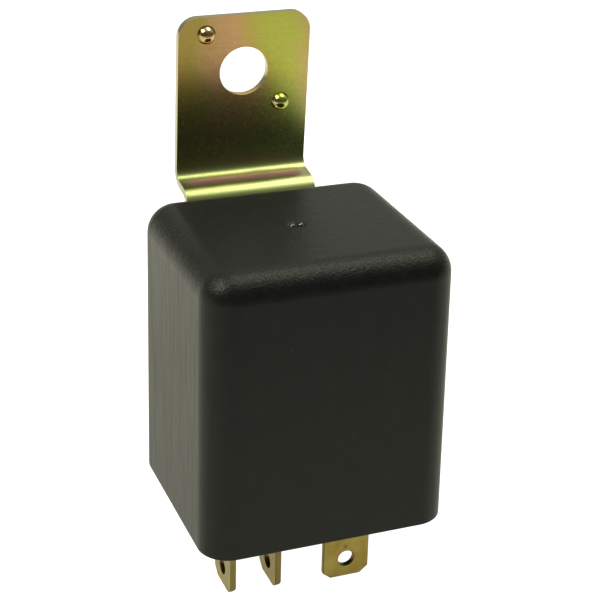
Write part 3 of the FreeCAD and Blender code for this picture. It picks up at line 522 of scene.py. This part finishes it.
def make_passivated_zinc():
    """Zinc plate with a film that shifts between gold, pink and green, with painted shade low on the tab, on
    the folds and towards the left edge; cut edges are paler.
    """
    material, tree, shader = new_material("passivated_zinc", Metallic=1.0)
    skin = place_on(tree)
    height, mottle = grain(tree, skin, 2400.0, 500.0)
    clouds = noise(tree, skin, 75.0, 6.0, Roughness=0.6, Distortion=0.6)
    place = axes(tree, skin)
    left, right = metres(STRIP_X)

    # Film across the strip, greener and darker low on the tab and on the folds: the green is the film's, the
    # darkening is painted shade
    side = multiply(tree, between(tree, place["X"], left, right), 0.84)
    shift = multiply(tree, arithmetic(tree, "SUBTRACT", clouds, 0.5), 0.62)
    film = plus(tree, side, plus(tree, shift, 0.07))
    colour = ramp(tree, film, (0.02, (0.72, 0.42, 0.24)), (0.13, (0.70, 0.49, 0.15)),
                  (0.25, (0.64, 0.50, 0.13)), (0.36, (0.86, 0.52, 0.26)), (0.48, (0.90, 0.54, 0.27)),
                  (0.60, (0.76, 0.60, 0.16)), (0.72, (0.66, 0.69, 0.13)), (0.84, (0.66, 0.65, 0.14)),
                  (0.96, (0.74, 0.50, 0.24)))
    # Low on the tab the film turns green and dark: the green is the film's, the darkening is painted shade.
    low_film_and_painted_shade = multiply(tree, between(tree, place["Z"], 0.052, 0.041), 0.9)
    colour = blend_colours(tree, low_film_and_painted_shade, colour, (0.33, 0.45, 0.17, 1))
    # On the folds as well: the green is the film's, the darkening is painted shade; the same mask makes the
    # folds rougher.
    folds = between(tree, place["Z"], 0.0412, 0.0398)
    colour = blend_colours(tree, folds, colour, (0.34, 0.385, 0.16, 1))

    # Rose patch on the crank
    rose = between(tree, place["Y"], 0.0162, 0.0168)
    for axis, start, end in (("Z", 0.03838, 0.03812), ("Z", 0.0374, 0.0378),
                             ("X", left, -0.0080), ("X", right, 0.0062)):
        rose = multiply(tree, rose, between(tree, place[axis], start, end))
    rose = multiply(tree, rose, ramp(tree, clouds, (0.36, 0.55), (0.56, 1.0)))
    colour = blend_colours(tree, rose, colour, (0.92, 0.46, 0.62, 1))
    rub = streaks(tree, place_on(tree), 45.0)
    colour = blend_colours(tree, 0.15, colour, ramp(tree, rub, (0.35, 0.62), (0.65, 1.0)), "MULTIPLY")
    # Painted shade: the strip's colour is darker towards its left edge.
    towards_middle = plus(tree, between(tree, place["X"], left, 0.002), shift)
    shaded = ramp(tree, towards_middle, (0.0, 0.84), (1.0, 1.0))
    colour = blend_colours(tree, 1.0, colour, shaded, "MULTIPLY")
    cut = multiply(tree, marked(tree, CUT_EDGE), 0.75)
    colour = blend_colours(tree, cut, colour, (0.42, 0.40, 0.32, 1))
    fine = noise(tree, skin, 1600.0, 2.0)
    polished = marked(tree, POLISHED)
    smooth = ramp(tree, fine, (0.3, 0.24), (0.7, 0.28))
    roughness = blend_colours(tree, folds, smooth, ramp(tree, fine, (0.3, 0.31), (0.7, 0.35)))
    roughness = blend_colours(tree, polished, roughness, (0.13, 0.13, 0.13, 1))
    dress(tree, shader, colour, roughness, height, depth=0.001)
    return material


def make_blade_brass():
    """Rolled brass with faint draw marks, dull spots and a few dark pits."""
    material, tree, shader = new_material("blade_brass", Metallic=1.0)
    skin = place_on(tree)
    height, mottle = grain(tree, skin, 2600.0, 450.0)
    upright = place_on(tree, turn=(0, math.radians(90), 0))
    drawn = streaks(tree, upright, 70.0)
    colour = ramp(tree, mottle, (0.3, (0.27, 0.20, 0.050)), (0.7, (0.37, 0.28, 0.080)))
    colour = blend_colours(tree, 0.35, colour, ramp(tree, drawn, (0.35, 0.6), (0.65, 1.0)), "MULTIPLY")
    pits = specks(tree, skin, 700.0, 0.14, 0.10)
    from_stain = distance_from_zero(tree, place_on(tree, location=metres(STAIN_PLACE)))
    stain = ramp(tree, arithmetic(tree, "DIVIDE", from_stain, 0.0004), (0.5, 1.0), (1.0, 0.0))
    pits = arithmetic(tree, "MAXIMUM", pits, stain)
    colour = blend_colours(tree, multiply(tree, pits, 0.6), colour, (0.12, 0.07, 0.02, 1))
    cut = multiply(tree, marked(tree, CUT_EDGE), 0.8)
    colour = blend_colours(tree, cut, colour, (0.17, 0.13, 0.05, 1))
    # Darker colour on the blades' rounded corners, low down.
    corner_darkening = multiply(tree, marked(tree, DARKER_CORNER), 0.85)
    colour = blend_colours(tree, corner_darkening, colour, (0.085, 0.055, 0.024, 1))
    roughness = ramp(tree, drawn, (0.3, 0.32), (0.7, 0.46))
    relief = plus(tree, multiply(tree, height, 0.5), multiply(tree, drawn, 0.5))
    dress(tree, shader, colour, roughness, relief, depth=0.012)
    return material


def make_metal(name, dark, light, rough, scale=60.0, depth=0.01):
    """Plated or bare metal with drawn marks and slight clouding."""
    material, tree, shader = new_material(name, Metallic=1.0)
    height, mottle = grain(tree, place_on(tree), 2600.0, 400.0)
    drawn = streaks(tree, place_on(tree), scale)
    clouding = plus(tree, multiply(tree, mottle, 0.6), multiply(tree, drawn, 0.4))
    colour = ramp(tree, clouding, (0.35, dark), (0.65, light))
    roughness = ramp(tree, drawn, (0.3, rough - 0.06), (0.7, rough + 0.08))
    dress(tree, shader, colour, roughness, height, depth=depth)
    return material


def make_bobbin_plastic():
    """Dark moulding of the bobbin."""
    material, tree, shader = new_material("bobbin_plastic", IOR=1.5)
    height, mottle = grain(tree, place_on(tree), 1800.0, 260.0)
    colour = ramp(tree, mottle, (0.3, (0.022, 0.020, 0.017)), (0.7, (0.034, 0.031, 0.026)))
    dress(tree, shader, colour, ramp(tree, mottle, (0.3, 0.38), (0.7, 0.5)), height, depth=0.02)
    return material


def make_enamelled_copper():
    """Varnished winding wire."""
    material, tree, shader = new_material("enamelled_copper", Metallic=1.0, Coat_Roughness=0.15)
    skin = place_on(tree)
    height, mottle = grain(tree, skin, 2000.0, 300.0)
    colour = ramp(tree, mottle, (0.3, (0.30, 0.085, 0.030)), (0.7, (0.50, 0.17, 0.065)))
    varnish = ramp(tree, mottle, (0.3, 0.5), (0.7, 0.9))
    tree.links.new(varnish, shader.inputs["Coat Weight"])
    dress(tree, shader, colour, ramp(tree, mottle, (0.3, 0.28), (0.7, 0.4)), height, depth=0.008)
    return material


def make_braid_copper():
    """Flat copper braid: two crossed sets of strands."""
    material, tree, shader = new_material("braid_copper", Metallic=1.0)
    strands = []
    for turn in (38, -38):
        vector = place_on(tree, turn=(math.radians(turn), 0, 0))
        sockets = {"Vector": vector, "Scale": 900.0, "Distortion": 0.3}
        bands = add(tree, "ShaderNodeTexWave", sockets, wave_type="BANDS", bands_direction="Z")
        strands.append(bands.outputs["Fac"])
    weave = arithmetic(tree, "MAXIMUM", *strands)
    colour = ramp(tree, weave, (0.2, (0.16, 0.05, 0.02)), (0.8, (0.62, 0.27, 0.13)))
    dress(tree, shader, colour, ramp(tree, weave, (0.2, 0.55), (0.8, 0.32)), weave, depth=0.05)
    return material


materials = {
    "moulded_black": make_moulded_black(),
    "base_moulding": make_base_moulding(),
    "passivated_zinc": make_passivated_zinc(),
    "blade_brass": make_blade_brass(),
    "soft_iron": make_metal("soft_iron", (0.30, 0.30, 0.30), (0.46, 0.46, 0.45), 0.36, depth=0.015),
    "rivet_steel": make_metal("rivet_steel", (0.42, 0.41, 0.38), (0.62, 0.61, 0.57), 0.30),
    "spring_steel": make_metal("spring_steel", (0.36, 0.35, 0.33), (0.58, 0.56, 0.52), 0.24, scale=90.0),
    "bobbin_plastic": make_bobbin_plastic(),
    "enamelled_copper": make_enamelled_copper(),
    "braid_copper": make_braid_copper(),
    "contact_silver": make_metal("contact_silver", (0.66, 0.66, 0.64), (0.82, 0.82, 0.79), 0.28),
}


# Camera, floor and lights

def make_camera():
    camera = bpy.data.objects.new("photo_camera", bpy.data.cameras.new("photo_camera"))
    bpy.context.scene.collection.objects.link(camera)
    back = [-value for value in CAMERA_FORWARD]
    turn = Matrix([CAMERA_RIGHT, CAMERA_UP, back]).transposed()
    camera.matrix_world = Matrix.LocRotScale(Vector(metres(CAMERA_PLACE)), turn.to_quaternion(), None)
    camera.data.sensor_fit = "HORIZONTAL"
    camera.data.sensor_width = SENSOR_WIDTH
    camera.data.lens = LENS
    camera.data.clip_start = 0.01
    camera.data.dof.use_dof = False
    bpy.context.scene.camera = camera


def make_floor():
    """Pale studio floor, lit from within: white when seen, dimmer in front in the object's gloss."""
    deselect()
    bpy.ops.mesh.primitive_circle_add(vertices=96, radius=FLOOR_RADIUS * MM, fill_type="NGON",
                                      location=(0, 0, FLOOR_Z * MM))
    floor = named("studio_floor")
    material, tree, shader = new_material("pale_floor", Emission_Strength=1.1, Roughness=0.9)
    vector = place_on(tree)
    paper = ramp(tree, grain(tree, vector, 300.0, 12.0)[1], (0.3, 0.24), (0.7, 0.26))
    tree.links.new(paper, shader.inputs["Base Color"])
    depth = between(tree, axes(tree, vector)["Y"], *metres(FLOOR_DIM))
    glow = ramp(tree, depth, (0.07, 0.03), (0.27, 0.20), (0.33, 0.40), (0.39, 0.60),
                (0.44, 0.68), (0.87, 0.70), (0.97, 0.90))
    glow = blend_colours(tree, 1.0, glow, (*STUDIO_TINT, 1), "MULTIPLY")
    seen = add(tree, "ShaderNodeLightPath").outputs["Is Camera Ray"]
    tree.links.new(blend_colours(tree, seen, glow, (1, 1, 1, 1)), shader.inputs["Emission Color"])
    shader.inputs["Specular IOR Level"].default_value = 0.0
    floor.data.materials.append(material)


def make_softbox(name, towards, distance, depth, width, radiance):
    """Rectangular area light that faces the cover's top; depth runs front to back."""
    light = bpy.data.lights.new(name, "AREA")
    light.shape = "RECTANGLE"
    light.size, light.size_y = depth, width
    light.energy = radiance * math.pi * depth * width
    light.color = STUDIO_TINT
    lamp = bpy.data.objects.new(name, light)
    bpy.context.scene.collection.objects.link(lamp)
    direction = Vector(towards).normalized()
    lamp.location = Vector((0, 0, 0.03)) + direction * distance
    lamp.rotation_mode = "QUATERNION"
    lamp.rotation_quaternion = direction.to_track_quat("Z", "Y")


def make_world():
    """Studio as the gloss shows it: dark in front, bright ceiling, grey behind. Seen, it is pale."""
    world = bpy.data.worlds.new("studio")
    bpy.context.scene.world = world
    world.use_nodes = True
    tree = world.node_tree
    ways = axes(tree, add(tree, "ShaderNodeTexCoord").outputs["Generated"])
    front = multiply(tree, ways["Y"], -1.0)
    arch = arithmetic(tree, "DIVIDE", arithmetic(tree, "ARCTAN2", ways["Z"], front), math.pi)
    walls = ramp(tree, arch, (0.0, 0.05), (0.2, 0.08), (0.5, 0.20), (0.87, 0.28), (1.0, 0.25))
    ceiling = ramp(tree, arch, (0.27, 0.0), (0.38, 0.28), (0.6, 0.28), (0.76, 0.14), (0.88, 0.02), (1.0, 0.0))
    high = between(tree, ways["Z"], 0.3, 0.8)
    sideways = between(tree, ways["X"], -0.5, 0.35)
    walls = blend_colours(tree, 1.0, walls, ramp(tree, sideways, (0.0, 0.6), (1.0, 1.0)), "MULTIPLY")
    around = blend_colours(tree, 1.0, walls, blend_colours(tree, high, (0, 0, 0, 1), ceiling), "ADD")
    around = blend_colours(tree, 1.0, around, (*STUDIO_TINT, 1), "MULTIPLY")
    seen = add(tree, "ShaderNodeLightPath").outputs["Is Camera Ray"]
    background = tree.nodes["Background"]
    background.inputs["Strength"].default_value = 2.0
    tree.links.new(blend_colours(tree, seen, around, (0.5, 0.5, 0.5, 1)), background.inputs["Color"])


bpy.context.scene.view_settings.view_transform = "Standard"
make_camera()
make_floor()
make_world()
make_softbox("right_softbox", (0.36, -0.02, 0.93), distance=0.5, depth=0.30, width=0.24, radiance=5.0)
make_softbox("left_softbox", (-0.62, -0.12, 0.80), distance=0.5, depth=0.20, width=0.17, radiance=16.0)


# Cover

def press_in_wall(piece, towards):
    """Slight sink of a broad moulded wall: nested insets, each a little deeper."""
    for margin, depth in SINK_STEPS:
        widest = max((face for face in piece.data.polygons if face.normal.dot(Vector(towards)) > 0.99),
                     key=lambda face: face.area)
        middle = widest.center / MM
        pick(piece, "FACE", lambda place, normal: (place - middle).length < 0.001)
        bpy.ops.mesh.inset(thickness=margin * MM, depth=-depth * MM)
        done()


def make_cover():
    """Moulded box: tapered cube with rounded uprights and top edges, hollowed to a thin wall."""
    cover = block("moulded_cover", (-COVER_HALF_X, -COVER_HALF_Y, 0),
                  (COVER_HALF_X, COVER_HALF_Y, COVER_HEIGHT))
    pick(cover, "FACE", lambda place, normal: normal.z > 0.9)
    bpy.ops.transform.resize(value=(TOP_HALF_X / COVER_HALF_X, TOP_HALF_Y / COVER_HALF_Y, 1))
    done()
    pick(cover, "EDGE", lambda a, b: abs(a.z - b.z) > COVER_HEIGHT / 2)
    soften(UPRIGHT_RADIUS, 12)
    done()
    pick(cover, "EDGE", lambda a, b: min(a.z, b.z) > COVER_HEIGHT - 0.01)
    soften(TOP_RADIUS, 10)
    done()
    for towards in ((1, 0, 0), (-1, 0, 0), (0, -1, 0)):
        press_in_wall(cover, towards)
    pick(cover, "FACE", lambda place, normal: normal.z < -0.9)
    bpy.ops.mesh.delete(type="FACE")
    done()
    modify(cover, "SOLIDIFY", thickness=COVER_WALL * MM, offset=-1, use_even_offset=True)
    pick(cover, "EDGE", lambda a, b: abs(a.z) < 0.002 and abs(b.z) < 0.002)
    soften(RIM_RADIUS, 3)
    done()
    combine(cover, block("seat_cutter", (SEAT_X[0], SEAT_Y, SEAT_BOTTOM),
                         (SEAT_X[1], COVER_HALF_Y + 1, COVER_HEIGHT)))

    # Gate mark: a shallow round dish with two small nubs left in it
    deselect()
    bowl = (GATE_RADIUS ** 2 + GATE_DEPTH ** 2) / (2 * GATE_DEPTH)
    dish_floor = COVER_HEIGHT - GATE_DEPTH
    bpy.ops.mesh.primitive_uv_sphere_add(segments=128, ring_count=96, radius=bowl * MM,
                                         location=metres((*GATE_PLACE, dish_floor + bowl)))
    combine(cover, named("gate_dish"))
    nubs = [(GATE_PLACE[0] + side * GATE_NUB_APART, GATE_PLACE[1], dish_floor) for side in (-1, 1)]
    for nub in nubs:
        combine(cover, dome("gate_nub", GATE_NUB_RADIUS, nub, (0, 0, 1), segments=24), "UNION")
    shade(cover)

    def on_nub(place, normal):
        return min((place - Vector(nub)).length for nub in nubs) < GATE_NUB_RADIUS + 0.01

    mark_faces(cover, POLISHED, on_nub)
    finished(cover, "housing", "moulded_black", "cover")


# Fixing bracket

def tab_frame():
    """Directions along the tab and out of its front face."""
    lean = math.radians(TAB_LEAN)
    return Vector((0, -math.sin(lean), math.cos(lean))), Vector((0, -math.cos(lean), -math.sin(lean)))


def on_tab(across, along, out):
    """Place on the tab, from the hole's centre on its front face."""
    up, forward = tab_frame()
    return Vector(HOLE_PLACE) + Vector((across, 0, 0)) + up * along + forward * out


def make_bracket():
    """Strip folded twice: a sheet extruded along its runs, with its folds and corners rounded."""
    deselect()
    width = STRIP_X[1] - STRIP_X[0]
    middle = (sum(STRIP_X) / 2, FOOT[0], (FOOT[1] + ELBOW[1]) / 2)
    bpy.ops.mesh.primitive_plane_add(size=1, location=metres(middle), rotation=(math.radians(90), 0, 0))
    strip = bpy.context.active_object
    strip.scale = metres((width, ELBOW[1] - FOOT[1], 1))
    strip = named("bracket_strip")

    def pick_corner(corner):
        pick(strip, "EDGE", lambda a, b: all(math.dist((p.y, p.z), corner) < 0.01 for p in (a, b)))

    for start, end in ((ELBOW, KNEE), (KNEE, CROWN)):
        pick_corner(start)
        extrude_by((0, end[0] - start[0], end[1] - start[1]))
        done()
    for corner, radius, turn in ((ELBOW, ELBOW_RADIUS, ELBOW_TURN), (KNEE, KNEE_RADIUS, KNEE_TURN)):
        pick_corner(corner)
        soften(radius * math.tan(math.radians(turn) / 2), 12)
        done()
    pick(strip, "VERT", lambda p: p.z > CROWN[1] - 0.01)
    soften(CROWN_CORNER, 10, "VERTICES")
    done()
    pick(strip, "VERT", lambda p: p.z < FOOT[1] + 0.01)
    soften(FOOT_CORNER, 10, "VERTICES")
    done()
    modify(strip, "SOLIDIFY", thickness=SHEET_THICKNESS * MM, offset=-1, use_even_offset=True)

    facing = (math.radians(90 + TAB_LEAN), 0, 0)
    through = 2 * STRIP_THICKNESS
    up, forward = tab_frame()
    combine(strip, disc("hole_cutter", HOLE_RADIUS, on_tab(0, 0, -through), on_tab(0, 0, through), facing,
                        sides=96))
    for x in RIVET_X:
        combine(strip, disc("rivet_cutter", RIVET_HOLE, (x, FOOT[0] + through, RIVET_Z),
                            (x, FOOT[0] - through, RIVET_Z), (math.radians(90), 0, 0), sides=48))
    pips = []
    for side in (-1, 1):
        across = side * PIP_ACROSS
        along = PIP_RISE - side * PIP_ALONG
        pips.append(on_tab(across, along, -PIP_SINK))
        combine(strip, dome("pip", PIP_RADIUS, pips[-1], forward, facing), "UNION")
        combine(strip, disc("dent_cutter", DENT_RADIUS, on_tab(across, along, -through),
                            on_tab(across, along, DENT_DEPTH - STRIP_THICKNESS), facing, sides=40))
    modify(strip, "BEVEL", width=STRIP_EDGE * MM, segments=2, limit_method="ANGLE",
           angle_limit=math.radians(50), use_clamp_overlap=True)
    shade(strip)

    def on_cut(place, normal):
        return abs(normal.x) > 0.6 or (place.z > CROWN_EDGE_LEVEL and normal.dot(up) > 0.6)

    def on_pip(place, normal):
        return normal.y < 0.5 and min((place - pip).length for pip in pips) < PIP_RADIUS + 0.05

    mark_faces(strip, CUT_EDGE, on_cut)
    mark_faces(strip, POLISHED, on_pip)
    finished(strip, "housing", "passivated_zinc", "mounting_bracket")


def make_bracket_rivet(name, x):
    """Domed head behind the strap, shank through strap and wall, flat tail inside."""
    low_film_and_painted_shade, high = (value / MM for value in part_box("bracket_rivet_" + name))
    back = FOOT[0] + STRIP_THICKNESS
    shank = low_film_and_painted_shade.y + TAIL_THICKNESS
    rivet = disc("rivet_" + name, TAIL_RADIUS, (x, shank, RIVET_Z), (x, low_film_and_painted_shade.y, RIVET_Z),
                 (math.radians(90), 0, 0), sides=48)
    pick(rivet, "FACE", lambda place, normal: normal.y > 0.9)
    bpy.ops.mesh.inset(thickness=TAIL_RING * MM)
    extrude_by((0, back - shank, 0))
    extrude_by((0, HEAD_BASE, 0))
    bpy.ops.transform.resize(value=(HEAD_SPREAD, 1, HEAD_SPREAD),
                             center_override=metres((x, back, RIVET_Z)))
    extrude_by((0, high.y - back - HEAD_BASE, 0))
    bpy.ops.transform.resize(value=(HEAD_CROWN, 1, HEAD_CROWN),
                             center_override=metres((x, high.y, RIVET_Z)))
    done()

    def at_head_or_end(a, b):
        level = abs(a.y - b.y) < 0.01 and math.hypot(a.x - b.x, a.z - b.z) < 1.0
        return level and (a.y > back + 0.1 or abs(a.y - low_film_and_painted_shade.y) < 0.01)

    pick(rivet, "EDGE", at_head_or_end)
    soften(RIVET_ROUNDING, 4)
    done()
    shade(rivet)
    finished(rivet, "housing", "rivet_steel", "bracket_rivet_" + name)


def make_winding():
    """Layer of single turns round the bobbin: one ring of wire, repeated up a closed spool of wire."""
    low_film_and_painted_shade, high = (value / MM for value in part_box("coil_winding"))
    centre = (low_film_and_painted_shade + high) / 2
    outside = (high.x - low_film_and_painted_shade.x) / 2
    around = outside - WIRE_RADIUS
    spool = disc("wound_coil", around, (centre.x, centre.y, low_film_and_painted_shade.z), (centre.x, centre.y, high.z), sides=96)
    turns = int((high.z - low_film_and_painted_shade.z) / (2 * WIRE_RADIUS))
    pitch = (high.z - low_film_and_painted_shade.z - 2 * WIRE_RADIUS) / (turns - 1)
    deselect()
    bpy.ops.mesh.primitive_torus_add(major_radius=around * MM, minor_radius=WIRE_RADIUS * MM,
                                     major_segments=72, minor_segments=8,
                                     location=metres((centre.x, centre.y, low_film_and_painted_shade.z + WIRE_RADIUS)))
    ring = named("wire_turns")
    modify(ring, "ARRAY", count=turns, use_relative_offset=False, use_constant_offset=True,
           constant_offset_displace=(0, 0, pitch * MM))
    deselect()
    ring.select_set(True)
    spool.select_set(True)
    bpy.context.view_layer.objects.active = spool
    bpy.ops.object.join()
    shade(spool)
    finished(spool, "housing", "enamelled_copper", "coil_winding")


def make_blade(number):
    """Blade with its cut edges and its darker rounded corners marked as far as the base plate's top."""
    blade = softened_copy("terminal_" + number, "blade_" + number, BLADE_ROUNDING)
    thin_axis = 1 if number == "30" else 0

    def on_cut(place, normal):
        return place.z < BLADE_MARKS_TOP and abs(normal[thin_axis]) < 0.6

    def on_corner(place, normal):
        return place.z < BLADE_MARKS_TOP and max(abs(part) for part in normal) < 0.97

    mark_faces(blade, CUT_EDGE, on_cut)
    mark_faces(blade, DARKER_CORNER, on_corner)
    finished(blade, "housing", "blade_brass", "terminal_" + number)


# Pieces of the relay

make_cover()
make_bracket()
for rivet_name, rivet_x in zip(("left", "right"), RIVET_X):
    make_bracket_rivet(rivet_name, rivet_x)

finished(softened_copy("base_plate", "moulded_base", BASE_ROUNDING), "housing", "base_moulding", "base_plate")
for number in ("87a", "87", "30", "86", "85"):
    make_blade(number)
make_winding()
for node_name, copy_name, body, slot, radius in (
        ("yoke", "folded_yoke", "housing", "soft_iron", YOKE_ROUNDING),
        ("bobbin", "moulded_bobbin", "housing", "bobbin_plastic", BOBBIN_ROUNDING),
        ("armature_plate", "rocking_plate", "armature", "soft_iron", PLATE_ROUNDING)):
    finished(softened_copy(node_name, copy_name, radius), body, slot, node_name)

# The braid and the spring are baked where they stand and go with no body
flexible(softened_copy("braided_lead", "flexing_braid", BRAID_ROUNDING),
         "braid_copper", "braided_lead")
flexible(softened_copy("return_spring", "coiled_spring", SPRING_ROUNDING),
         "spring_steel", "return_spring")

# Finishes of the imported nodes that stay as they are
for subpart in frame["record"]["subparts"]:
    node = nodes[subpart["node"]]
    if not node.hide_render:
        coat(node, subpart["material_slot"])
